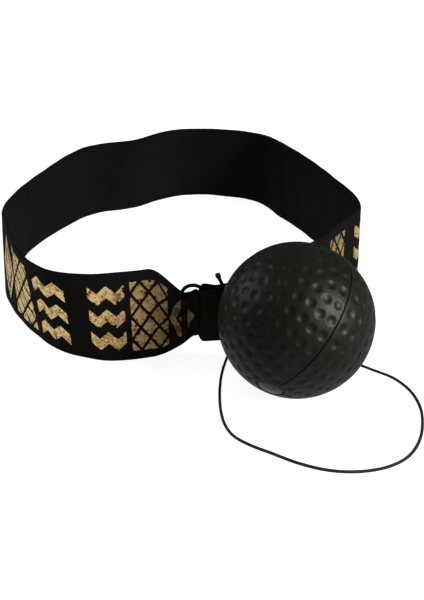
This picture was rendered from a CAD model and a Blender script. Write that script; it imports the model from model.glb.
"""Looks of the reflex ball headband: woven elastic with a gold foil print, a folded webbing tab between wire
rings, a dimpled foam ball with a gloss end plug, and the braided cord that ties the ball to the tab.

Units are metres in Blender. Sizes below are in millimetres and in the CAD frame: +Z up, the ball at the
front (-Y), the origin under the middle of headband and ball.
"""

import math

import bpy
import numpy as np
from mathutils import Matrix, Vector, noise


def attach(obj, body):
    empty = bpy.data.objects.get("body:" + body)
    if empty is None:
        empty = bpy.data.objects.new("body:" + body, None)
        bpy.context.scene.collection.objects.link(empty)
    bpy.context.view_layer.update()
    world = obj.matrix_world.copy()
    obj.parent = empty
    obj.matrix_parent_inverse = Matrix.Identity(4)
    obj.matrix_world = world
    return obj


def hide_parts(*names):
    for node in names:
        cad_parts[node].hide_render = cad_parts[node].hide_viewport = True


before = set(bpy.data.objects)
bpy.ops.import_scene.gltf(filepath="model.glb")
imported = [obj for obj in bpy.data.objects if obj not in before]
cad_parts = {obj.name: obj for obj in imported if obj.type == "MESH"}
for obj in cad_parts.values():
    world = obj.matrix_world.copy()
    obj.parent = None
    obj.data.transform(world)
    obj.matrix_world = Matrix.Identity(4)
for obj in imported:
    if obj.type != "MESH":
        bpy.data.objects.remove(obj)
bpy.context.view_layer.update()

MM = 0.001

# Elastic headband
BAND_HEIGHT = 45.0
BAND_THICKNESS = 1.3
BAND_STEP = 0.8
BAND_ROUTE = [  # (x, y, outward lean of the top edge) of the band's middle, from the left ring to the right
    (-13, -66.6, 0), (-23.5, -69, -0.5), (-34, -69.8, 1), (-46.5, -67.4, 4.2), (-55, -63.6, 4.8),
    (-61.2, -58.2, 4.4), (-66.3, -52, 3.7), (-71, -45.2, 2.6), (-75.9, -36.3, 0.4), (-84.1, -18.8, -3),
    (-89.3, -3, -3.6), (-89.2, 12, -5.2), (-83.8, 37, -7.3), (-76.6, 56, -6.6), (-69.6, 70.3, -4.2),
    (-60.9, 84.2, -3), (-52, 91, -3.6), (-41.5, 94.6, -3.2), (-30.7, 98.8, -3.4), (-20, 108.4, -2.6),
    (-8.8, 115.7, -2), (2.6, 118.4, -2.4), (14.2, 118.4, -2.4), (25.7, 116, -1.6), (37.2, 112.3, -1.4),
    (48.3, 104, 0.8), (57.5, 87.7, 2.6), (67, 70.3, 2), (73.8, 55.2, 1), (81.2, 36.4, 0),
    (88, 16.2, -0.6), (89.3, -1.4, -1.6), (77.8, -18.6, -1.4), (64, -37.4, 0),
]
BAND_ROWS = 60  # of the mesh, from the low edge to the high one
GATHER_EDGES = (12.5, 31.5)  # the low and high edge in the fold at a ring
GATHER_LOW_LENGTH = 21.0
GATHER_HIGH_REACH = (4.0, 22.0)
HEM_LENGTH = 11.0
HEM_CLEARANCE = 0.3
POCKET_RADIUS = 2.4
POCKET_CLOSING = (0.5, 5.5)  # along the hem, where the pocket for the ring narrows
FOLD_PLACE = 6.2  # from the ring bar in the tab to where the fold starts
BAND_STARTS = (FOLD_PLACE, 10.4, 14.0)  # places on the band's straight end
FOLD_POINTS = 14
FOLD_REACH = 2.6  # how far the fold's front leans over the tab
FOLD_CLEAR = 3.5  # from the ring bar in the tab to the fold's middle
FOLD_RISE = 1.2  # of the fold's top edge above the band's own beside it
HEM_LOWERED = 2.2  # of the hem's top edge below the band's
HEM_CLOSING = 4.0
HEM_STITCH_PLACE = 2.6
HEM_STITCH_REACH = (0.08, 0.92)  # shares of the height
PLEATS = 3.4  # waves over the height
PLEAT_DEPTH = 0.75
PLEAT_REST = 0.12  # what is left of the depth where the pleats start and end
PLEAT_EDGE = 0.12  # share of the height in which they die out at the edges
SELVAGE = 2.2  # width of the denser edge of the weave
SELVAGE_GROOVE = (0.35, 0.13)  # width and depth
SELVAGE_BEAD = (0.8, 0.07)  # width and height
EDGE_STEPS = 5  # of a strip's rounded edge

# Front tab
TAB_HEIGHT = 27.0
TAB_FOLD_HEIGHT = 21.5
TAB_THICKNESS = 1.2
TAB_LENGTH = 27.0
TAB_RADIUS = 52.0
TAB_START = Vector((11.9, -60.8, 0))
TAB_START_ANGLE = math.radians(2.0)
TAB_CENTRE_Z = 19.7
TAB_FOLD_RADIUS = 2.15
TAB_FLARE = 3.0
TAB_LAYERS = (-2.15, -0.5, 1.15)  # of the webbing's middle, inward of the tab's middle
TAB_OVERLAP = (8.0, 19.0)  # where its two ends lie, along the tab
TAB_CLOSED = 6.0
TAB_SPRING = 0.6  # from a ring bar to where the fold's arc starts
TAB_ASKEW = 2.4  # how far its first end, folded in behind, stands above the front
TAB_ROWS = 40
TAB_WAVE = 0.12
TAB_HEM = 2.6
TAB_GROOVE = (0.5, 0.14)  # width and depth of the dent along the stitches

# Sewing
STITCH = 2.1
STITCH_STEP = 0.15
THREAD_RADIUS = 0.22
THREAD_RISE = 0.32
THREAD_SUNK = 0.16

# Rings
RING_WIRE = 1.7
RING_WIDTH = 11.5
RING_HEIGHT = 27.0
RING_CORNER = 4.6
RING_CENTRE_Z = 21.5
RING_STEP = 0.5
CORNER_STEPS = 12

# Cord
CORD_DIAMETER = 1.2
CORD_ROUTE = [  # from the knot through the eyelet, down to the floor, round in front of the ball and up
    (24.3, -55.7, 19.7), (25.2, -58.6, 19.7), (26, -61.3, 19.7), (26.6, -63.4, 19.6), (26.9, -65.3, 18.3),
    (26.5, -66.5, 15.4), (25.4, -67.2, 11.4), (24.1, -67.9, 7), (22.7, -69.5, 3.2), (21.4, -72.6, 1.1),
    (20.3, -77.4, 0.6), (19.3, -85, 0.6), (18.8, -93.5, 0.6), (18.8, -101, 0.6), (19.3, -108.5, 0.6),
    (20.8, -116.4, 0.6), (24, -123.2, 0.6), (30, -128.6, 0.6), (38.6, -133.8, 0.6), (49, -139.8, 0.6),
    (60, -143.6, 0.6), (71, -144.2, 0.6), (82, -141.6, 0.6), (90.6, -136, 0.6), (97, -126.6, 0.6),
    (100.8, -115, 0.6), (102, -104, 0.6), (100, -92.8, 0.6), (94.6, -83.8, 0.6), (86.4, -77.4, 0.6),
    (79.6, -72, 0.6), (74.6, -65.4, 0.8), (71.6, -59, 3.2), (70, -54.2, 10), (69.3, -52.1, 21),
    (68.7, -52.5, 32), (67.9, -53.8, 40), (66.9, -55.4, 45.4), (65.7, -57.2, 48.9), (64.4, -58.9, 50.5),
    (63.2, -60.5, 50.4), (62.3, -61.8, 49.7), (61.56, -63.33, 48.69),
]
TAIL_ROUTE = [  # from the knot up behind the tab
    (23.1, -54.5, 21.9), (22.4, -55, 25), (21.5, -56, 28.4), (20.4, -57.1, 31.6), (19.2, -57.9, 34.8),
    (17.7, -58.4, 38.7),
]
TAIL_SWELL = 1.35
TAIL_BEAD = 2.0
BEAD_RINGS = (12, 6)  # rings of the mesh from the tail's end to where the bead starts, and is full
TIP_RINGS = 4
TIP_LENGTH = 3.2
TIP_LEFT = 0.02
KNOT_PLACE = (23.6, -55.0, 19.7)
KNOT_SIZE = 1.5
KNOT_POINTS = 120
KNOT_HEIGHT = 1.3
CORD_SIDES = 16
BRAID_STEP = 0.3
BRAID_PITCH = 2.6
BRAID_STRANDS = 4
BRAID_RADIUS = (1.04, 0.06)  # mean and swing, in shares of the cord's radius

# Foam ball
BALL_RADIUS = 32.5
BALL_CENTRE = Vector((50.3, -87.5, 32.5))
PLUG_DIRECTION = Vector((-0.361, -0.775, -0.519)).normalized()
SEAM_NORMAL = Vector((0.783, 0.050, -0.620))
SEAM_GAP = 0.3
SEAM_ROUNDING = 0.3
BORE_RADIUS = 2.0
COUNTERBORE_RADIUS = 4.6
COUNTERBORE_FLOOR = 21.9
POCKET_FLOOR = 29.7
POCKET_HOLE_RADIUS = 5.9
PLUG_RADIUS = 5.6
PLUG_RIM = 1.1
PLUG_SAG = 0.62  # of its dome
PLUG_STEM = [(30.0, 4.3), (25.0, 4.3), (25.0, 3.0), (29.2, 3.0), (29.2, 0.02)]
DIMPLE_RADIUS = 2.15
DIMPLE_DEPTH = 0.5
DIMPLE_RINGS = [  # (degrees from the seam, how many, degrees of the first) of each ring of dimples
    (5.3, 30, -86.8), (14.6, 30, -86.8), (23.5, 28, -91.5), (33.1, 28, -91.5), (42.5, 24, -86.4),
    (51.8, 20, -84.4), (61.1, 16, -81.4), (70.4, 11, -86.4), (79.7, 6, -81.4), (90.0, 1, 0.0),
]
DIMPLE_RAISED = 0.9  # degrees that one half's first ring lies further from the seam
PLUG_CLEAR = 13.5  # degrees round the plug without dimples
BORE_CLEAR = 6.5
BALL_UNEVEN = 0.05
BALL_ROWS = 230
BALL_COLUMNS = 236
SEAM_EDGE = (0.0, 0.02, 0.06, 0.12, 0.2, 0.3, 0.5, 0.8)  # distances of the mesh lines beside the seam

# Camera and light, in metres and watts
CAMERA_PLACE = (0.0155, -0.3876, 0.2167)
CAMERA_TILT = math.radians(59.81)
CAMERA_LENS = 51.0
CAMERA_SENSOR = 36.0
LIGHT_COLOUR = (1.0, 0.97, 0.92)
LIGHTS = [  # name, direction from the target, distance, size, power, target, seen in reflections
    ("key", (0.726, -0.438, 0.528), 1.1, (0.40, 0.46), 21.0, BALL_CENTRE * MM, True),
    ("top", (-0.2, 0.3, 1.0), 1.5, (1.2, 1.2), 7.0, Vector((0.0, 0.0, 0.0)), False),
    ("left_fill", (-0.8, 0.3, 0.45), 1.3, (0.7, 0.7), 5.2, Vector((0.0, 0.0, 0.02)), True),
]
SKY = [(0.28, 0.50), (0.50, 0.08)]  # brightness from straight below (0) to straight above (1)
WHITE = (1.0, 1.0, 1.0)
FLOOR_HALF = 6.0
FLOOR_LEVEL = -0.02 * MM
FLOOR_GREY = 0.35
FLOOR_GLOW = 0.92

# Colours, linear, dark and light
SHEEN_TINT = (0.75, 0.75, 0.72, 1.0)
ELASTIC = ((0.0017, 0.0017, 0.0014), (0.0045, 0.0045, 0.0037))
WEBBING = ((0.0032, 0.0034, 0.0024), (0.0074, 0.0079, 0.0058))
FOAM = ((0.0042, 0.0044, 0.0032), (0.0072, 0.0072, 0.0057))
WIRE = ((0.004, 0.004, 0.004), (0.012, 0.012, 0.011))
CORD = (0.008, 0.008, 0.007)
THREAD = (0.0040, 0.0040, 0.0035)
PLASTIC = (0.02, 0.02, 0.02)
GLOSS = (0.010, 0.010, 0.010)
GOLD = [  # stops of the mottled foil
    (0.40, (0.10, 0.045, 0.010)), (0.46, (0.62, 0.37, 0.095)), (0.50, (1.0, 0.70, 0.27)),
    (0.57, (1.0, 0.86, 0.48)),
]
GOLD_MEAN = (0.83, 0.58, 0.25)
GOLD_CHIPPED = (0.05, 0.028, 0.01)
GOLD_DULL = (0.125, 0.060, 0.013)


# ---------- geometry helpers


def ease(value, start, end):
    """0 at the start and 1 at the end, smooth between them."""
    share = np.clip((value - start) / (end - start), 0.0, 1.0)
    return share * share * (3 - 2 * share)


def mix(a, b, share):
    return a + (b - a) * share


def unit(rows):
    return rows / np.linalg.norm(rows, axis=-1, keepdims=True)


def distances(line):
    """How far along a line each of its points is."""
    return np.concatenate([[0.0], np.cumsum(np.linalg.norm(np.diff(line, axis=0), axis=1))])


def evenly(line, step):
    """The same line, an array of points, with its points about one step apart."""
    along = distances(line)
    count = max(2, round(along[-1] / step) + 1)
    places = np.linspace(0, along[-1], count)
    return np.stack([np.interp(places, along, line[:, i]) for i in range(line.shape[1])], axis=1)


def smooth_line(points, step):
    """Evenly spaced points on a smooth curve through the given ones (a centripetal Catmull-Rom spline)."""
    points = np.array([tuple(p) for p in points], float)
    before, after = points[0] * 2 - points[1], points[-1] * 2 - points[-2]
    knots = np.concatenate([[before], points, [after]])
    fine = []
    for p0, p1, p2, p3 in zip(knots, knots[1:], knots[2:], knots[3:]):
        t1 = np.linalg.norm(p1 - p0) ** 0.5
        t2 = t1 + np.linalg.norm(p2 - p1) ** 0.5
        t3 = t2 + np.linalg.norm(p3 - p2) ** 0.5
        t = mix(t1, t2, np.arange(24) / 24)[:, None]
        a1 = p0 * (t1 - t) / t1 + p1 * t / t1
        a2 = p1 * (t2 - t) / (t2 - t1) + p2 * (t - t1) / (t2 - t1)
        a3 = p2 * (t3 - t) / (t3 - t2) + p3 * (t - t2) / (t3 - t2)
        b1 = a1 * (t2 - t) / t2 + a2 * t / t2
        b2 = a2 * (t3 - t) / (t3 - t1) + a3 * (t - t1) / (t3 - t1)
        fine.append(b1 * (t2 - t) / (t2 - t1) + b2 * (t - t1) / (t2 - t1))
    return evenly(np.concatenate(fine + [points[-1:]]), step)


def new_object(name, data):
    obj = bpy.data.objects.new(name, data)
    bpy.context.scene.collection.objects.link(obj)
    return obj


def new_piece(name, points, faces, finish, body, node=None, uv=None):
    """A smooth-shaded mesh from points in millimetres, riding on a body and replacing a CAD node. Its slot
    has its material's name. uv has one (u, v) for each point."""
    mesh = bpy.data.meshes.new(name)
    mesh.from_pydata((np.asarray(points) * MM).tolist(), [], faces)
    if uv is not None:
        corners = np.zeros(len(mesh.loops), np.int32)
        mesh.loops.foreach_get("vertex_index", corners)
        layer = mesh.uv_layers.new(name="weave")
        layer.uv.foreach_set("vector", np.asarray(uv, np.float32)[corners].ravel())
    mesh.shade_smooth()
    mesh.materials.append(finish)
    obj = new_object(name, mesh)
    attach(obj, body)
    if node:
        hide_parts(node)
    return obj


def grid_faces(rows, columns, close_rows=False, close_columns=False):
    """The quads of a grid whose points are numbered row by row."""
    i = np.arange(rows if close_rows else rows - 1)
    j = np.arange(columns if close_columns else columns - 1)
    i, j = (a.ravel() for a in np.meshgrid(i, j, indexing="ij"))
    i2, j2 = (i + 1) % rows, (j + 1) % columns
    corners = [i * columns + j, i * columns + j2, i2 * columns + j2, i2 * columns + j]
    return [tuple(f) for f in np.stack(corners, axis=1).tolist()]


def capped_faces(rows, columns):
    """The faces of a closed tube whose rings of points are numbered one after the other."""
    faces = grid_faces(rows, columns, close_columns=True)
    faces.append(tuple(range(columns))[::-1])
    faces.append(tuple(range((rows - 1) * columns, rows * columns)))
    return faces


def tube_mesh(line, radii, sides, cyclic=False):
    """(points, faces) of a tube without twist, closed at both ends unless it is a ring. radii is a function
    of (ring index, angles)."""
    runs = unit(np.gradient(line, axis=0))
    side = Vector(runs[0]).orthogonal().normalized()
    angles = np.arange(sides) * 2 * math.pi / sides
    rows = []
    for i, (place, run) in enumerate(zip(line, runs)):
        run = Vector(run)
        side = (side - run * side.dot(run)).normalized()
        round_it = np.outer(np.cos(angles), side) + np.outer(np.sin(angles), run.cross(side))
        rows.append(place + round_it * radii(i, angles)[:, None])
    faces = grid_faces(len(rows), sides, True, True) if cyclic else capped_faces(len(rows), sides)
    return np.concatenate(rows), faces


def plain_tube(line, radius, sides, cyclic=False):
    return tube_mesh(line, lambda i, angles: np.full(len(angles), radius), sides, cyclic)


def merged(parts):
    """One (points, faces) from several."""
    points, faces, first = [], [], 0
    for part_points, part_faces in parts:
        points.append(part_points)
        faces += [tuple(i + first for i in f) for f in part_faces]
        first += len(part_points)
    return np.concatenate(points), faces


def turned_mesh(profile, steps):
    """(points, faces) of a closed (height, radius) profile turned about the X axis."""
    profile = np.asarray(profile, float)
    angles = np.arange(steps) * 2 * math.pi / steps
    x = np.repeat(profile[:, :1], steps, axis=1)
    points = np.stack([x, profile[:, 1:] * np.cos(angles), profile[:, 1:] * np.sin(angles)], axis=2)
    return points.reshape(-1, 3), grid_faces(len(profile), steps, True, True)


# ---------- materials


def new_material(name, colour, roughness, metallic=0.0, specular=0.5, sheen=0.0):
    """A material, its shader and its node tree. These values are set on the shader's own sockets."""
    made = bpy.data.materials.new(name)
    made.use_nodes = True
    shader = made.node_tree.nodes["Principled BSDF"]
    shader.inputs["Base Color"].default_value = (*colour, 1.0)
    shader.inputs["Roughness"].default_value = roughness
    shader.inputs["Metallic"].default_value = metallic
    shader.inputs["Specular IOR Level"].default_value = specular
    shader.inputs["Sheen Weight"].default_value = sheen
    return made, shader, made.node_tree


def put(tree, value, socket):
    """Gives an input a number, a colour, or a link from another node's output."""
    if isinstance(value, bpy.types.NodeSocket):
        tree.links.new(value, socket)
    else:
        socket.default_value = (*value, 1.0) if isinstance(value, tuple) else value


def add_node(tree, kind, inputs=None, **settings):
    """A node with its settings and its inputs {name: number, colour or socket}."""
    made = tree.nodes.new(kind)
    for name, value in settings.items():
        setattr(made, name, value)
    for name, value in (inputs or {}).items():
        put(tree, value, made.inputs[name])
    return made


def math_node(tree, operation, *values):
    """A math node's result from numbers or sockets."""
    made = add_node(tree, "ShaderNodeMath", operation=operation)
    for socket, value in zip(made.inputs, values):
        put(tree, value, socket)
    return made.outputs[0]


def times(tree, a, b):
    return math_node(tree, "MULTIPLY", a, b)


def plus(tree, a, b):
    return math_node(tree, "ADD", a, b)


def noise_node(tree, place, scale, detail=3.0, roughness=0.5):
    inputs = {"Vector": place, "Scale": scale, "Detail": detail, "Roughness": roughness}
    return add_node(tree, "ShaderNodeTexNoise", inputs).outputs["Fac"]


def ramp(tree, factor, stops):
    """A colour ramp through (place, colour or grey) stops."""
    made = add_node(tree, "ShaderNodeValToRGB", {"Fac": factor})
    elements = made.color_ramp.elements
    while len(elements) < len(stops):
        elements.new(0.5)
    for element, (place, colour) in zip(elements, stops):
        element.position = place
        element.color = (*colour, 1.0) if isinstance(colour, tuple) else (colour, colour, colour, 1.0)
    return made.outputs["Color"]


def mixed_colour(tree, share, first, second):
    """A colour between two, each of them a colour or a socket."""
    made = add_node(tree, "ShaderNodeMix", data_type="RGBA")
    for i, value in ((0, share), (6, first), (7, second)):
        put(tree, value, made.inputs[i])
    return made.outputs[2]


def dressed(made, colour, roughness, height, strength, depth):
    """The material, with a bump, and with colour and roughness from nodes where they are given."""
    tree = made.node_tree
    inputs = {"Height": height, "Strength": strength, "Distance": depth * MM}
    normal = add_node(tree, "ShaderNodeBump", inputs).outputs["Normal"]
    for name, value in (("Base Color", colour), ("Roughness", roughness), ("Normal", normal)):
        if value is not None:
            put(tree, value, tree.nodes["Principled BSDF"].inputs[name])
    return made


def object_coordinates(tree):
    return add_node(tree, "ShaderNodeTexCoord").outputs["Object"]


def weave_coordinates(tree):
    """(along, across) in metres on a woven strip."""
    uv = add_node(tree, "ShaderNodeUVMap", uv_map="weave")
    split = add_node(tree, "ShaderNodeSeparateXYZ", {"Vector": uv.outputs["UV"]})
    return uv.outputs["UV"], split.outputs["X"], split.outputs["Y"]


def ribs(tree, coordinate, pitch, phase):
    """A 0-1 wave along a coordinate in metres."""
    turns = plus(tree, times(tree, coordinate, 2 * math.pi / (pitch * MM)), phase)
    return math_node(tree, "MULTIPLY_ADD", math_node(tree, "SINE", turns), 0.5, 0.5)


def woven(name, colours, rib_pitch, pick_pitch):
    """Woven elastic or webbing: warp ribs crossed by weft picks, a fuzz of fibre, and uneven dye."""
    dark, light = colours
    made, shader, tree = new_material(name, dark, 0.85, specular=0.06, sheen=0.004)
    shader.inputs["Sheen Roughness"].default_value = 0.5
    shader.inputs["Sheen Tint"].default_value = SHEEN_TINT
    uv, along, across = weave_coordinates(tree)
    place = object_coordinates(tree)
    wander = times(tree, noise_node(tree, uv, 700.0), 2.2)
    warp = ribs(tree, across, rib_pitch, wander)
    weft = ribs(tree, along, pick_pitch, wander)
    cross = times(tree, warp, weft)
    fuzz = noise_node(tree, place, 3500.0, 4.0, 0.7)
    height = plus(tree, cross, times(tree, fuzz, 0.6))
    dye = times(tree, noise_node(tree, place, 60.0, 4.0, 0.6), 0.6)
    shade = ramp(tree, plus(tree, times(tree, cross, 0.45), dye), [(0.15, dark), (0.85, light)])
    return dressed(made, shade, ramp(tree, fuzz, [(0.3, 0.77), (0.8, 0.95)]), height, 0.8, 0.16)


def gold_foil():
    """Hot-stamped foil on a knit: bright metal, mottled by the weave under it, with dark specks."""
    made, _, tree = new_material("gold_foil", GOLD_MEAN, 0.42, metallic=0.72)
    place = object_coordinates(tree)
    coarse = noise_node(tree, place, 420.0, 5.0, 0.6)
    fine = noise_node(tree, place, 1600.0, 3.0, 0.75)
    mottle = plus(tree, times(tree, coarse, 0.45), times(tree, fine, 0.55))
    flakes = add_node(tree, "ShaderNodeTexVoronoi", {"Vector": place, "Scale": 1500.0})
    speck = noise_node(tree, place, 260.0, 5.0, 0.75)
    chip = times(tree, speck, flakes.outputs["Distance"])
    bare = ramp(tree, chip, [(0.02, 0.0), (0.05, 1.0)])
    colour = mixed_colour(tree, bare, GOLD_CHIPPED, ramp(tree, mottle, GOLD))
    dull = add_node(tree, "ShaderNodeAttribute", attribute_name="dull").outputs["Fac"]
    dulled = mixed_colour(tree, times(tree, dull, 0.93), colour, GOLD_DULL)
    rough = ramp(tree, mottle, [(0.35, 0.58), (0.7, 0.34)])
    height = plus(tree, noise_node(tree, place, 1900.0), times(tree, mottle, 0.8))
    return dressed(made, dulled, rough, height, 0.5, 0.12)


def foam_skin():
    """The skin of moulded foam: matt, faintly mottled, with fine pores."""
    made, _, tree = new_material("black_foam", FOAM[1], 0.5, specular=0.17)
    place = object_coordinates(tree)
    cloud = noise_node(tree, place, 55.0, 5.0, 0.6)
    grain = noise_node(tree, place, 2600.0, 3.0, 0.6)
    pores = add_node(tree, "ShaderNodeTexVoronoi", {"Vector": place, "Scale": 900.0})
    pit = ramp(tree, pores.outputs["Distance"], [(0.05, 0.0), (0.22, 1.0)])
    shade = ramp(tree, cloud, [(0.3, FOAM[0]), (0.75, FOAM[1])])
    rough = plus(tree, times(tree, grain, 0.16), 0.37)
    height = plus(tree, times(tree, grain, 0.7), times(tree, pit, 0.35))
    return dressed(made, shade, rough, height, 0.35, 0.08)


def moulded(name, colour, roughness, specular=0.5):
    """Moulded plastic: smooth, with a faint grain and handling marks in its gloss."""
    made, _, tree = new_material(name, colour, roughness, specular=specular)
    place = object_coordinates(tree)
    marks = noise_node(tree, place, 300.0, 5.0, 0.7)
    rough = ramp(tree, marks, [(0.35, roughness), (0.8, roughness + 0.12)])
    return dressed(made, None, rough, noise_node(tree, place, 1200.0, 2.0), 0.15, 0.03)


def coated_wire():
    """Black-coated steel wire, rubbed a little where it bears."""
    made, _, tree = new_material("black_wire", WIRE[0], 0.5, specular=0.1)
    place = object_coordinates(tree)
    rubbed = noise_node(tree, place, 500.0, 4.0, 0.7)
    shade = ramp(tree, rubbed, [(0.45, WIRE[0]), (0.8, WIRE[1])])
    rough = ramp(tree, rubbed, [(0.35, 0.45), (0.8, 0.6)])
    return dressed(made, shade, rough, noise_node(tree, place, 2500.0, 2.0), 0.2, 0.03)


def spun(name, colour, roughness, scale):
    """Cord or sewing thread: fibre grain over the twist that the mesh has."""
    made, _, tree = new_material(name, colour, roughness, specular=0.15, sheen=0.02)
    place = object_coordinates(tree)
    fibre = noise_node(tree, place, scale, 4.0, 0.7)
    light = tuple(c * 2.4 for c in colour)
    return dressed(made, ramp(tree, fibre, [(0.3, colour), (0.75, light)]), None, fibre, 0.5, 0.08)


# ---------- camera, floor and light


def camera():
    data = bpy.data.cameras.new("camera")
    data.lens = CAMERA_LENS
    data.sensor_width = CAMERA_SENSOR
    data.clip_start, data.clip_end = 0.01, 50.0
    obj = new_object("camera", data)
    obj.location = CAMERA_PLACE
    obj.rotation_euler = (CAMERA_TILT, 0.0, 0.0)
    bpy.context.scene.camera = obj


def area_light(name, direction, distance, size, power, target, mirrored):
    """A soft light, seen from the target in the given direction, that may stay out of reflections."""
    data = bpy.data.lights.new(name, "AREA")
    data.shape = "RECTANGLE"
    data.size, data.size_y = size
    data.energy = power
    data.color = LIGHT_COLOUR
    obj = new_object(name, data)
    obj.visible_glossy = mirrored
    direction = Vector(direction).normalized()
    obj.location = target + direction * distance
    obj.rotation_euler = direction.to_track_quat("Z", "Y").to_euler()


def pale_floor():
    """A white table top, which stays out of reflections."""
    mesh = bpy.data.meshes.new("floor")
    corners = [(x * FLOOR_HALF, y * FLOOR_HALF, FLOOR_LEVEL) for x, y in ((-1, -1), (1, -1), (1, 1), (-1, 1))]
    mesh.from_pydata(corners, [], [(0, 1, 2, 3)])
    floor = new_object("floor", mesh)
    made, shader, _ = new_material("pale_floor", (FLOOR_GREY,) * 3, 0.9, specular=0.0)
    shader.inputs["Emission Color"].default_value = (*WHITE, 1.0)
    shader.inputs["Emission Strength"].default_value = FLOOR_GLOW
    mesh.materials.append(made)
    floor.visible_glossy = False


def sky():
    """A white backdrop that lights and mirrors brightly from below the horizon and dimly from above."""
    world = bpy.data.worlds.new("studio")
    bpy.context.scene.world = world
    world.use_nodes = True
    tree = world.node_tree
    direction = add_node(tree, "ShaderNodeTexCoord").outputs["Generated"]
    height = add_node(tree, "ShaderNodeSeparateXYZ", {"Vector": direction}).outputs["Z"]
    glow = ramp(tree, math_node(tree, "MULTIPLY_ADD", height, 0.5, 0.5), SKY)
    tree.links.new(glow, tree.nodes["Background"].inputs["Color"])
    backdrop = add_node(tree, "ShaderNodeBackground", {"Color": WHITE})
    path = add_node(tree, "ShaderNodeLightPath")
    either = add_node(tree, "ShaderNodeMixShader", {"Fac": path.outputs["Is Camera Ray"]})
    tree.links.new(tree.nodes["Background"].outputs[0], either.inputs[1])
    tree.links.new(backdrop.outputs[0], either.inputs[2])
    tree.links.new(either.outputs[0], tree.nodes["World Output"].inputs["Surface"])


# ---------- cord


def braid(i, angles):
    """The radius round the cord at a ring of its mesh, swelling where two strands cross."""
    phase = i * BRAID_STEP / BRAID_PITCH * 2 * math.pi
    strands = np.cos(BRAID_STRANDS * angles + phase) * np.cos(BRAID_STRANDS * angles - phase)
    mean, swing = BRAID_RADIUS
    return CORD_DIAMETER / 2 * (mean + swing * strands)


def cord(finish):
    """The braided cord from the knot through the eyelet to the ball."""
    points, faces = tube_mesh(smooth_line(CORD_ROUTE, BRAID_STEP), braid, CORD_SIDES)
    made = new_piece("cord", points, faces, finish, "root", "cord_free")


def cord_end(finish):
    """The cord's tail, which swells to the round bead of its melted end."""
    tail = smooth_line(TAIL_ROUTE, BRAID_STEP)

    def melted(i, angles):
        left = len(tail) - i
        bead = ease(left, *BEAD_RINGS)
        closing = math.sqrt(max(TIP_LEFT, 1 - max(0.0, (TIP_RINGS - left) / TIP_LENGTH) ** 2))
        return braid(i, angles) * mix(TAIL_SWELL, TAIL_BEAD * closing, bead)

    points, faces = tube_mesh(tail, melted, CORD_SIDES)
    new_piece("cord_end", points, faces, finish, "root", "cord_tail")


def knot(finish):
    """An overhand knot drawn as a trefoil."""
    turn = np.arange(KNOT_POINTS) * 2 * math.pi / KNOT_POINTS
    x, y = np.sin(turn) + 2 * np.sin(2 * turn), np.cos(turn) - 2 * np.cos(2 * turn)
    loop = np.stack([x, y, -KNOT_HEIGHT * np.sin(3 * turn)], axis=1) * KNOT_SIZE / 3 + KNOT_PLACE
    points, faces = tube_mesh(loop, braid, CORD_SIDES, cyclic=True)
    new_piece("knot", points, faces, finish, "root", "anchor_knot")


# ---------- tab and rings


def tab_point(along, inward):
    """Points at a distance along the tab's middle from the left ring bar, and inward of its middle."""
    start = np.array([math.sin(TAB_START_ANGLE), -math.cos(TAB_START_ANGLE)])
    centre = np.array(TAB_START[:2]) - start * TAB_RADIUS
    angle = TAB_START_ANGLE + np.asarray(along, float) / TAB_RADIUS
    reach = TAB_RADIUS - np.asarray(inward, float)
    return np.stack([centre[0] + np.sin(angle) * reach, centre[1] - np.cos(angle) * reach], axis=-1)


def ring_frame(along, side):
    """(ring bar in the tab, direction from the tab along the band, direction inward), for side -1 or +1."""
    angle = TAB_START_ANGLE + along / TAB_RADIUS
    away = np.array([math.cos(angle), math.sin(angle)]) * side
    inward = np.array([-math.sin(angle), math.cos(angle)])
    return tab_point(along, 0.0), away, inward


RING_ENDS = {"left": ring_frame(0.0, -1), "right": ring_frame(TAB_LENGTH, 1)}


def outward(line):
    """Square to each point of a plan line, to the left of its run."""
    run = unit(np.gradient(line[:, :2], axis=0))
    return np.stack([-run[:, 1], run[:, 0]], axis=1)


def strip_profile(rows, rounding):
    """(share of height, share of half thickness) round a strip's section: outer face up, edge, inner face
    down, edge. The edges are rounded."""
    up = [(mix(rounding, 1 - rounding, i / (rows - 1)), 1.0) for i in range(rows)]
    arc = [math.pi * k / EDGE_STEPS for k in range(1, EDGE_STEPS)]
    top = [(1 - rounding + rounding * math.sin(a), math.cos(a)) for a in arc]
    down = [(height, -1.0) for height, _ in up[::-1]]
    bottom = [(rounding - rounding * math.sin(a), -math.cos(a)) for a in arc]
    return np.array(up + top + down + bottom)


def strip(name, node, plan, low, high, thickness, lift, rows, finish, uv_start=0.0):
    """A woven strip standing on edge. plan is (x, y, lean), low and high its edge heights, and lift(share of
    the height, side) moves the surface outward."""
    profile = strip_profile(rows, thickness / BAND_HEIGHT)
    share = profile[:, 0][None, :]
    height = low[:, None] + (high - low)[:, None] * share
    slope = plan[:, 2:3] / BAND_HEIGHT
    side = outward(plan)
    off = profile[:, 1][None, :] * thickness / 2 + slope * (height - BAND_HEIGHT / 2)
    off = off + lift(share, profile[:, 1])
    x = plan[:, 0:1] + side[:, 0:1] * off
    y = plan[:, 1:2] + side[:, 1:2] * off
    points = np.stack([x, y, height], axis=2)
    columns, ring = height.shape
    along = distances(plan[:, :2]) + uv_start
    uv = np.stack([np.repeat(along[:, None], ring, axis=1), height], axis=2) * MM
    faces = capped_faces(columns, ring)
    return new_piece(name, points.reshape(-1, 3), faces, finish, "root", node, uv.reshape(-1, 2))


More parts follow.
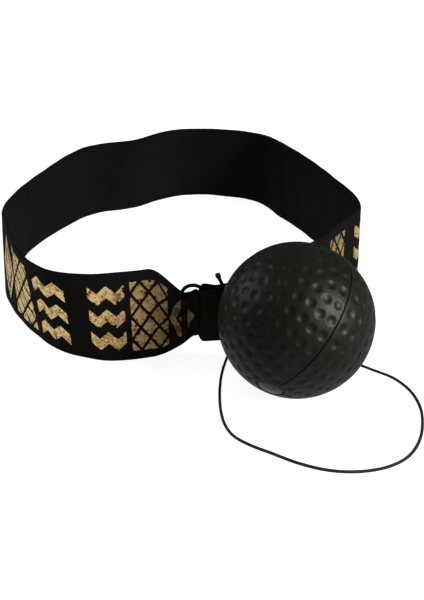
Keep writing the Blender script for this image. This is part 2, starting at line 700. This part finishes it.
def tab_route():
    """(plan, distance from the nearer fold) of the tab's webbing, from its end under the overlap, round the
    left bar, along the front, round the right bar and back over the overlap."""
    radius = TAB_FOLD_RADIUS
    over = np.linspace(0, 1, 31)
    half = np.linspace(0, math.pi, 21)
    under = mix(TAB_OVERLAP[1], TAB_SPRING, over)
    front = np.linspace(TAB_SPRING, TAB_LENGTH - TAB_SPRING, 48)
    back = mix(TAB_LENGTH - TAB_SPRING, TAB_OVERLAP[0], over)
    along, inward = (np.concatenate(parts) for parts in zip(
        (under, mix(radius, TAB_LAYERS[1], ease(under, 0.0, TAB_CLOSED))),
        (-radius * np.sin(half), radius * np.cos(half)),
        (front, np.full(len(front), -radius)),
        (TAB_LENGTH + radius * np.sin(half), -radius * np.cos(half)),
        (back, mix(radius, TAB_LAYERS[2], ease(TAB_LENGTH - back, 0.0, TAB_CLOSED))),
    ))
    plan = tab_point(along, inward)
    reach = distances(plan)
    folds = reach[[along.argmin(), along.argmax()]]
    return np.column_stack([plan, np.zeros(len(plan))]), np.abs(reach[:, None] - folds).min(axis=1)


def tab(finish, thread):
    """The folded webbing tab and the rows of stitches along its edges."""
    plan, distance = tab_route()
    half = mix(TAB_FOLD_HEIGHT, TAB_HEIGHT, ease(distance, 0.0, TAB_FLARE) ** 0.7) / 2
    folded_in = np.clip(1 - np.arange(len(plan)) / distance.argmin(), 0, 1)
    centre = TAB_CENTRE_Z + TAB_ASKEW * folded_in
    wave = np.array([noise.noise(Vector((d * 0.25, 3.7, 0.0))) for d in range(len(plan))])[:, None]

    def lift(share, side):
        width, depth = TAB_GROOVE
        groove = np.exp(-((np.minimum(share, 1 - share) * TAB_HEIGHT - TAB_HEM) / width) ** 2)
        return wave * TAB_WAVE - groove * depth * side

    strip("tab", "front_tab", plan, centre - half, centre + half, TAB_THICKNESS, lift, TAB_ROWS, finish)
    face = -(TAB_FOLD_RADIUS + TAB_THICKNESS / 2)
    for name, z in (("top", TAB_HEIGHT / 2 - TAB_HEM), ("bottom", TAB_HEM - TAB_HEIGHT / 2)):
        row = np.linspace(1.0, TAB_LENGTH - 1.0, 200)
        line = np.column_stack([tab_point(row, face), np.full(len(row), TAB_CENTRE_Z + z)])
        points, faces = stitches(line, np.array([0.0, -1.0, 0.0]))
        new_piece("tab_stitches_" + name, points, faces, thread, "root", "tab_thread_" + name)


def stitches(line, out):
    """A row of lockstitches along a line on the surface; each dips into the cloth at its ends."""
    line = evenly(line, STITCH_STEP)
    per = round(STITCH / STITCH_STEP)
    parts = []
    for first in range(0, len(line) - per, per):
        piece = line[first + 1 : first + per]
        rise = np.sin(np.linspace(0, math.pi, len(piece)))[:, None]
        parts.append(plain_tube(piece + out * (rise * THREAD_RISE - THREAD_SUNK), THREAD_RADIUS, 8))
    return merged(parts)


def ring(name, node, side, body, finish):
    """A closed oblong wire ring."""
    bar, away, _ = RING_ENDS[side]
    spacing = RING_WIDTH - RING_WIRE
    corner_along = spacing / 2 - RING_CORNER
    corner_up = (RING_HEIGHT - RING_WIRE) / 2 - RING_CORNER
    outline = []
    for quarter, (a, b) in enumerate(((1, 1), (-1, 1), (-1, -1), (1, -1))):
        for k in range(CORNER_STEPS + 1):
            angle = math.pi / 2 * (quarter + k / CORNER_STEPS)
            outline.append((
                spacing / 2 + math.cos(angle) * RING_CORNER + a * corner_along,
                math.sin(angle) * RING_CORNER + b * corner_up,
            ))
    outline = np.array(outline + outline[:1])
    places = np.column_stack([bar[0] + away[0] * outline[:, 0], bar[1] + away[1] * outline[:, 0]])
    line = evenly(np.column_stack([places, RING_CENTRE_Z + outline[:, 1]]), RING_STEP)[:-1]
    points, faces = plain_tube(line, RING_WIRE / 2, 16, cyclic=True)
    new_piece(name, points, faces, finish, body, node)


# ---------- headband


def band_plan():
    """The band's points (x, y, lean), how far along each is from the start of its outer run, its distance
    from the nearer fold, +1 for the outer run or -1 for a hem, and the outer run's length."""
    starts = []
    for side in ("left", "right"):
        bar, away, inward = RING_ENDS[side]
        starts.append([(*(bar + away * a - inward * POCKET_RADIUS), 0.0) for a in BAND_STARTS])
    main = smooth_line(starts[0] + BAND_ROUTE + starts[1][::-1], BAND_STEP)
    ends = []
    for side, line, hand in (("left", main, -1), ("right", main[::-1], 1)):
        _, away, inward = RING_ENDS[side]
        along = np.arange(len(line)) * BAND_STEP
        hem = line[along <= HEM_LENGTH].copy()
        closing = ease(along[: len(hem)], *POCKET_CLOSING)
        off = mix(2 * POCKET_RADIUS, BAND_THICKNESS + HEM_CLEARANCE, closing)
        hem[:, :2] += outward(line)[: len(hem)] * (off * hand)[:, None]
        angle = np.linspace(0, math.pi, FOLD_POINTS + 2)[1:-1, None]
        lean_over = FOLD_REACH * np.clip(np.sin(2 * angle), 0, 1)
        off_bar = away * (FOLD_PLACE - POCKET_RADIUS * np.sin(angle) - lean_over)
        off_bar = off_bar - inward * POCKET_RADIUS * np.cos(angle)
        reach = np.linalg.norm(off_bar, axis=1, keepdims=True)
        arc = RING_ENDS[side][0] + off_bar * np.maximum(reach, FOLD_CLEAR) / reach
        arc = np.column_stack([arc, np.zeros(len(arc))])
        ends.append(np.concatenate([arc, hem]))
    plan = np.concatenate([ends[0][::-1], main, ends[1]])
    along = distances(plan[:, :2])
    along -= along[len(ends[0])]
    main_length = along[len(ends[0]) + len(main) - 1]
    hem_points = len(ends[0]) - FOLD_POINTS
    fold_length = -along[hem_points - 1]
    from_apex = np.minimum(
        np.abs(along + fold_length / 2), np.abs(along - main_length - fold_length / 2)
    )
    half_turn = math.pi * POCKET_RADIUS / 2
    in_fold = from_apex / (fold_length / 2)
    distance = np.where(in_fold < 1, in_fold * half_turn, from_apex - fold_length / 2 + half_turn)
    hand = np.where((along < -fold_length / 2) | (along > main_length + fold_length / 2), -1.0, 1.0)
    return plan, along, distance, hand, main_length


def band_edges(distance):
    low, high = GATHER_EDGES
    closed = 1 - np.minimum(1.0, distance / GATHER_LOW_LENGTH)
    return low * closed**2, mix(high, BAND_HEIGHT, ease(distance, *GATHER_HIGH_REACH))


def pleats(distance, share):
    """How far the gathered cloth stands outward: pleats that run into the fold and die out along the band."""
    depth = PLEAT_DEPTH * ease(distance, 2.5, 6.5) * ease(distance, 24.0, 6.0) + PLEAT_REST
    depth = depth * ease(distance, 30.0, 22.0) * ease(np.minimum(share, 1 - share), 0.0, PLEAT_EDGE)
    return depth * np.sin(2 * math.pi * (PLEATS * share + 1.1 + distance * 0.035))


def slack(along, share):
    """Small waves of the relaxed elastic."""
    return (
        0.22 * np.sin(along * 0.11 + 2.4 * share) * np.sin(along * 0.043 + 1.0)
        + 0.10 * np.sin(along * 0.37 + 5.0 * share)
    )


BAND_PLAN, BAND_ALONG, BAND_DISTANCE, BAND_HAND, BAND_LENGTH = band_plan()
BAND_SIDE = outward(BAND_PLAN)


def band_surface(along, share, off):
    """Points of the band at a distance along it and a share of its height, off outward of its middle."""
    at = [np.interp(along, BAND_ALONG, column) for column in (*BAND_PLAN.T, *BAND_SIDE.T, BAND_DISTANCE)]
    x, y, lean, side_x, side_y, distance = at
    low, high = band_edges(distance)
    height = mix(low, high, share)
    out = off + lean / BAND_HEIGHT * (height - BAND_HEIGHT / 2)
    out = out + pleats(distance, share) + slack(along, share)
    return np.stack([x + side_x * out, y + side_y * out, height], axis=-1)


def band(finish, thread):
    """The elastic strip with its hems, and the thread that closes each hem."""
    low, high = band_edges(BAND_DISTANCE)
    in_hem = np.where(BAND_HAND < 0, BAND_DISTANCE, 0.0)
    high = high - HEM_LOWERED * ease(in_hem, 0.0, HEM_CLOSING)
    high = high + FOLD_RISE * ease(BAND_DISTANCE, FOLD_PLACE, 0.0)

    def lift(share, side):
        edge = np.minimum(share, 1 - share) * BAND_HEIGHT
        groove = np.exp(-((edge - SELVAGE) / SELVAGE_GROOVE[0]) ** 2) * SELVAGE_GROOVE[1]
        bead = ease(edge, SELVAGE, SELVAGE - SELVAGE_BEAD[0]) * SELVAGE_BEAD[1]
        along = np.where(BAND_HAND > 0, BAND_ALONG, BAND_DISTANCE)
        cloth = pleats(BAND_DISTANCE[:, None], share) + slack(along[:, None], share)
        return cloth * BAND_HAND[:, None] + (bead - groove) * side

    made = strip(
        "headband", "elastic_band", BAND_PLAN, low, high, BAND_THICKNESS, lift, BAND_ROWS, finish,
        BAND_ALONG[0],
    )
    for name, place in (("left", HEM_STITCH_PLACE), ("right", BAND_LENGTH - HEM_STITCH_PLACE)):
        share = np.linspace(*HEM_STITCH_REACH, 160)
        line = band_surface(np.full(len(share), place), share, BAND_THICKNESS / 2)
        out = np.array([np.interp(place, BAND_ALONG, BAND_SIDE[:, i]) for i in (0, 1)] + [0.0])
        points, faces = stitches(line, out)
        new_piece("hem_stitches_" + name, points, faces, thread, "root", "hem_thread_" + name)


# ---------- foil print
# A plain geometric pattern in mirrored groups: stacked zigzags, a lattice of diamonds, and nested diamonds.
# A shape is a signed distance, positive inside, of (u, v): u across the shape from 0 to its width, v up.

ZIGZAGS = (1 / 6, 1 / 2, 5 / 6)  # the middles of the stripes, in shares of the height
ZIGZAG_WAVES = 2
ZIGZAG_RISE = 0.11
ZIGZAG_STRIPE = 0.17
LATTICE = (2, 3)  # columns and rows
LATTICE_LINE = 1.3
NESTED_FRAME = 2.9
NESTED_GAP = 1.2
OUTSIDE = -9.0


def zigzags(u, v, width, height):
    """Three zigzag stripes, one above the other."""
    wave = np.abs((u / width * ZIGZAG_WAVES) % 1.0 - 0.5) * 2 - 0.5
    rise = ZIGZAG_RISE * height
    found = np.full(u.shape, OUTSIDE)
    for share in ZIGZAGS:
        found = np.maximum(found, ZIGZAG_STRIPE * height / 2 - np.abs(v - height * share - wave * rise))
    return np.minimum.reduce([found * 0.85, u, width - u, v, height - v])


def diamond_field(x, y, half_width, half_height):
    """One upright diamond about the origin."""
    slope = math.hypot(1 / half_width, 1 / half_height)
    return (1 - np.abs(x) / half_width - np.abs(y) / half_height) / slope


def lattice(u, v, width, height):
    """A filled field that thin bare lines cut into diamonds."""
    columns, rows = LATTICE
    cell_width, cell_height = width / columns, height / rows
    x, y = (u % cell_width) - cell_width / 2, (v % cell_height) - cell_height / 2
    whole = diamond_field(x, y, cell_width / 2, cell_height / 2)
    found = np.abs(whole) - LATTICE_LINE / 2
    return np.minimum.reduce([found, u, width - u, v, height - v])


def nested(u, v, width, height):
    """A broad diamond frame round a small diamond."""
    x, y = u - width / 2, v - height / 2
    outer = diamond_field(x, y, width / 2, height / 2)
    return np.maximum(np.minimum(outer, NESTED_FRAME - outer), outer - NESTED_FRAME - NESTED_GAP)


# (shape, where it starts and ends along the band, turned over); the rest of the band repeats them
FOIL_LEFT = [
    (nested, -2.0, 9.5, False), (lattice, 10.0, 26.5, True), (zigzags, 29.0, 44.5, True),
    (zigzags, 55.0, 73.5, False), (lattice, 78.5, 101.0, False), (nested, 103.0, 124.5, False),
]
FOIL_RIGHT = [
    (lattice, 433.0, 450.0, True), (zigzags, 453.0, 472.5, True), (lattice, 482.0, 497.5, True),
    (nested, 500.0, 516.0, True),
]
FOIL_REPEAT = [nested, lattice, zigzags]
FOIL_WIDTH = 16.0
FOIL_PITCH = 18.2
FOIL_GAP = 10.0
FOIL_HEIGHT = (5.0, 40.0)
FOIL_GRID = 0.4
FOIL_MARGIN = 0.6  # of the grid round each shape
FOIL_LIFT = 0.06
FOIL_RAGGED = (0.9, 0.16)  # scale and strength of the uneven edges
FOIL_CHIPS = (0.7, 0.40, 12.0)  # scale, threshold and strength
FOIL_PINS = (2.1, 0.46, 9.0)  # the same for pinholes
FOIL_SEAM = 1.4  # bare on each side of a hem's stitches
FOIL_DULL = (60.0, 130.0)  # from the left and right folds to where the foil has its full gloss


def foil_cells():
    cells = list(FOIL_LEFT)
    at = FOIL_LEFT[-1][2] + FOIL_GAP
    end = FOIL_RIGHT[0][1] - FOIL_GAP / 2
    i = 0
    while at + FOIL_WIDTH < end:
        group, place = divmod(i, len(FOIL_REPEAT))
        order = FOIL_REPEAT if group % 2 == 0 else FOIL_REPEAT[::-1]
        cells.append((order[place], at, at + FOIL_WIDTH, group % 2 == 1))
        at += FOIL_PITCH + (FOIL_GAP if place == len(FOIL_REPEAT) - 1 else 0.0)
        i += 1
    return cells + FOIL_RIGHT


def wear(along, up):
    """Uneven edges, chips and pinholes of the foil, in millimetres taken off a shape's field."""
    def cloud(scale, layer):
        places = zip(along.ravel() * scale, up.ravel() * scale)
        return np.array([noise.noise(Vector((s, v, layer))) for s, v in places]).reshape(along.shape)

    chips = cloud(FOIL_CHIPS[0], 8.0) + 0.4 * cloud(2.0, 4.0) - FOIL_CHIPS[1]
    pins = cloud(FOIL_PINS[0], 21.0) - FOIL_PINS[1]
    ragged = cloud(FOIL_RAGGED[0], 0.0) * FOIL_RAGGED[1]
    return ragged + np.maximum(0.0, chips) * FOIL_CHIPS[2] + np.maximum(0.0, pins) * FOIL_PINS[2]


def inside_mesh(u, v, field):
    """(places, faces) of the part of a grid where the field is positive, cut along its zero line."""
    number, places, faces = {}, [], []

    def point(a, b):
        """The number of the place on the zero line between corners a and b, or of a corner, given twice."""
        a, b = min(a, b), max(a, b)
        if (a, b) not in number:
            share = 0.0 if a == b else field[a] / (field[a] - field[b])
            number[a, b] = len(places)
            places.append((mix(u[a], u[b], share), mix(v[a], v[b], share)))
        return number[a, b]

    rows, columns = field.shape
    for i, j in np.ndindex(rows - 1, columns - 1):
        square = [(i, j), (i + 1, j), (i + 1, j + 1), (i, j + 1)]
        outline = []
        for at, after in zip(square, square[1:] + square[:1]):
            if field[at] > 0:
                outline.append(point(at, at))
            if (field[at] > 0) != (field[after] > 0):
                outline.append(point(at, after))
        if len(outline) > 2:
            faces.append(tuple(outline))
    return np.array(places), faces


def foil_print(finish):
    """The foil as a thin skin on the band's outer face, duller and more worn towards the folds."""
    parts, dulled = [], []
    low, high = FOIL_HEIGHT
    for shape, start, end, turned_over in foil_cells():
        width = end - start
        along = np.arange(start - FOIL_MARGIN, end + FOIL_MARGIN, FOIL_GRID)
        up = np.arange(low - FOIL_MARGIN, high + FOIL_MARGIN, FOIL_GRID)
        s, v = np.meshgrid(along, up, indexing="ij")
        u, w = (s - start, v - low) if turned_over else (end - s, high - v)
        seam = np.minimum(np.abs(s - HEM_STITCH_PLACE), np.abs(s - BAND_LENGTH + HEM_STITCH_PLACE))
        field = np.minimum(shape(u, w, width, high - low) - wear(s, v), seam - FOIL_SEAM)
        places, faces = inside_mesh(s, v, field)
        points = band_surface(places[:, 0], places[:, 1] / BAND_HEIGHT, BAND_THICKNESS / 2 + FOIL_LIFT)
        parts.append((points, faces))
        near_left = ease(places[:, 0], FOIL_DULL[0], 0.0)
        dulled.append(near_left + ease(BAND_LENGTH - places[:, 0], FOIL_DULL[1], 0.0))
    points, faces = merged(parts)
    made = new_piece("foil_print", points, faces, finish, "root")
    dull = made.data.attributes.new("dull", "FLOAT", "POINT")
    dull.data.foreach_set("value", np.concatenate(dulled).astype(np.float32))


# ---------- ball


def ball_axes():
    """The ball's own frame: X towards the end plug along the cord's bore, Z square to the seam."""
    normal = (SEAM_NORMAL - PLUG_DIRECTION * SEAM_NORMAL.dot(PLUG_DIRECTION)).normalized()
    return np.array(Matrix((PLUG_DIRECTION, normal.cross(PLUG_DIRECTION), normal)))


BALL_AXES = ball_axes()


def from_ball(points):
    """Points from the ball's own frame to the CAD frame."""
    return np.asarray(points) @ BALL_AXES + np.array(BALL_CENTRE)


def dimple_places(side):
    """Unit vectors to one half's dimples, in the ball's own frame; side is +1 or -1 along its Z."""
    found = []
    for latitude, count, first in DIMPLE_RINGS:
        if side > 0 and latitude == DIMPLE_RINGS[0][0]:
            latitude += DIMPLE_RAISED
        level, up = math.cos(math.radians(latitude)), math.sin(math.radians(latitude))
        for k in range(count):
            longitude = math.radians(first + 360 / count * k)
            found.append((level * math.cos(longitude), level * math.sin(longitude), side * up))
    found = np.array(found)
    off_plug = found[:, 0] < math.cos(math.radians(PLUG_CLEAR))
    off_bore = found[:, 0] > -math.cos(math.radians(BORE_CLEAR))
    return found[off_plug & off_bore]


def dimple_depth(directions, side):
    """How deep each direction from the ball's centre lies in a dimple."""
    depth = np.zeros(len(directions))
    for place in dimple_places(side):
        near = directions @ place
        close = near > math.cos(DIMPLE_RADIUS * 1.5 / BALL_RADIUS)
        away = np.arccos(np.clip(near[close], -1, 1)) * BALL_RADIUS / DIMPLE_RADIUS
        bowl = np.clip(1 - away**2, 0, 1) ** 1.15
        depth[close] = np.maximum(depth[close], bowl * DIMPLE_DEPTH)
    return depth


def half_profile():
    """(distances along the bore, radii about it) of a half's outline: the skin first, then the bore, the
    counterbore and the pocket."""
    start = math.asin(POCKET_HOLE_RADIUS / BALL_RADIUS)
    end = math.pi - math.asin(BORE_RADIUS / BALL_RADIUS)
    skin = np.linspace(start, end, BALL_ROWS)
    skin = np.stack([BALL_RADIUS * np.cos(skin), BALL_RADIUS * np.sin(skin)], axis=1)
    inner = [
        (-BALL_RADIUS / 2, BORE_RADIUS), (0.0, BORE_RADIUS), (COUNTERBORE_FLOOR, BORE_RADIUS),
        (COUNTERBORE_FLOOR, COUNTERBORE_RADIUS), (POCKET_FLOOR, COUNTERBORE_RADIUS),
        (POCKET_FLOOR, POCKET_HOLE_RADIUS), (mix(POCKET_FLOOR, skin[0, 0], 0.5), POCKET_HOLE_RADIUS),
    ]
    return np.concatenate([skin, inner]).T


def skin_depth(outer, side):
    """How far the skin lies under the full sphere: rounded at the seam, dimpled, and slightly uneven."""
    directions = unit(outer)
    corner = np.clip(1 - (np.abs(outer[:, :, 2]) - SEAM_GAP / 2) / SEAM_ROUNDING, 0, 1)
    rounded = SEAM_ROUNDING * (1 - np.sqrt(np.clip(1 - corner**2, 0, 1)))
    dimpled = dimple_depth(directions.reshape(-1, 3), side).reshape(corner.shape)
    uneven = np.sin(directions[:, :, 0] * 7 + 1) * np.sin(directions[:, :, 1] * 6 + 2)
    return rounded + dimpled + BALL_UNEVEN * (1 - uneven)


def ball_half(name, node, side, finish):
    """One half of the foam: its profile turned by half a circle about the bore, and the flat seam face."""
    x, radius = half_profile()
    edge = SEAM_GAP / 2 + np.array(SEAM_EDGE)
    near = np.arcsin(np.clip(edge[None, :] / radius[:, None], 0, 0.97))
    middle = np.linspace(0, 1, BALL_COLUMNS)[None, 1:-1]
    span = mix(near[:, -1:], math.pi - near[:, -1:], middle)
    angle = np.concatenate([near, span, math.pi - near[:, ::-1]], axis=1)
    across, up = radius[:, None] * np.cos(angle), side * radius[:, None] * np.sin(angle)
    points = np.stack([np.repeat(x[:, None], angle.shape[1], axis=1), across, up], axis=2)
    outer = points[:BALL_ROWS]
    points[:BALL_ROWS] = unit(outer) * (BALL_RADIUS - skin_depth(outer, side))[:, :, None]
    rows, columns = angle.shape
    faces = grid_faces(rows, columns, close_rows=True)
    faces.append(tuple(range(0, rows * columns, columns)))
    faces.append(tuple(range(columns - 1, rows * columns, columns))[::-1])
    if side < 0:
        faces = [f[::-1] for f in faces]
    made = new_piece(name, from_ball(points.reshape(-1, 3)), faces, finish, "ball", node)


def plug(finish):
    """The end plug: a low dome with a rounded rim, and the stem that holds it."""
    flat = PLUG_RADIUS - PLUG_RIM
    dome = [(BALL_RADIUS - PLUG_SAG * (r / PLUG_RADIUS) ** 2, r) for r in np.linspace(0.02, flat, 16)]
    turn = np.linspace(0, math.pi / 2, 8)[1:]
    edge = [(dome[-1][0] - PLUG_RIM * (1 - math.cos(a)), flat + PLUG_RIM * math.sin(a)) for a in turn]
    points, faces = turned_mesh(dome + edge + [(PLUG_STEM[0][0], PLUG_RADIUS)] + PLUG_STEM, 72)
    new_piece("plug", from_ball(points), faces, finish, "ball", "end_plug")


def finish_cad_nodes(materials):
    """The CAD nodes that stay, each with its own material."""
    for node, name in (
        ("eyelet", "black_wire"), ("eyelet_washer", "black_wire"), ("bore_liner", "black_plastic"),
        ("retaining_washer", "black_plastic"), ("cord_core", "cord_black"), ("stopper_knot", "cord_black"),
    ):
        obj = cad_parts[node]
        obj.data.materials.clear()
        obj.data.materials.append(materials[name])


def main():
    bpy.context.scene.view_settings.view_transform = "Standard"
    camera()
    materials = {
        "black_elastic": woven("black_elastic", ELASTIC, 0.75, 0.9),
        "black_webbing": woven("black_webbing", WEBBING, 0.9, 0.6),
        "black_wire": coated_wire(),
        "cord_black": spun("cord_black", CORD, 0.7, 4000.0),
        "black_thread": spun("black_thread", THREAD, 0.75, 6000.0),
        "black_foam": foam_skin(),
        "black_plastic": moulded("black_plastic", PLASTIC, 0.35),
        "gloss_plastic": moulded("gloss_plastic", GLOSS, 0.14, specular=0.21),
        "gold_foil": gold_foil(),
    }
    for piece in (cord, cord_end, knot):
        piece(materials["cord_black"])
    band(materials["black_elastic"], materials["black_thread"])
    foil_print(materials["gold_foil"])
    tab(materials["black_webbing"], materials["black_thread"])
    for side in ("left", "right"):
        ring(side + "_ring", "ring_" + side, side, side + "_ring", materials["black_wire"])
    for side, hand in (("right", 1), ("left", -1)):
        ball_half("ball_" + side, "ball_half_" + side, hand, materials["black_foam"])
    plug(materials["gloss_plastic"])
    finish_cad_nodes(materials)
    pale_floor()
    sky()
    for light in LIGHTS:
        area_light(*light)
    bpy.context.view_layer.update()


main()
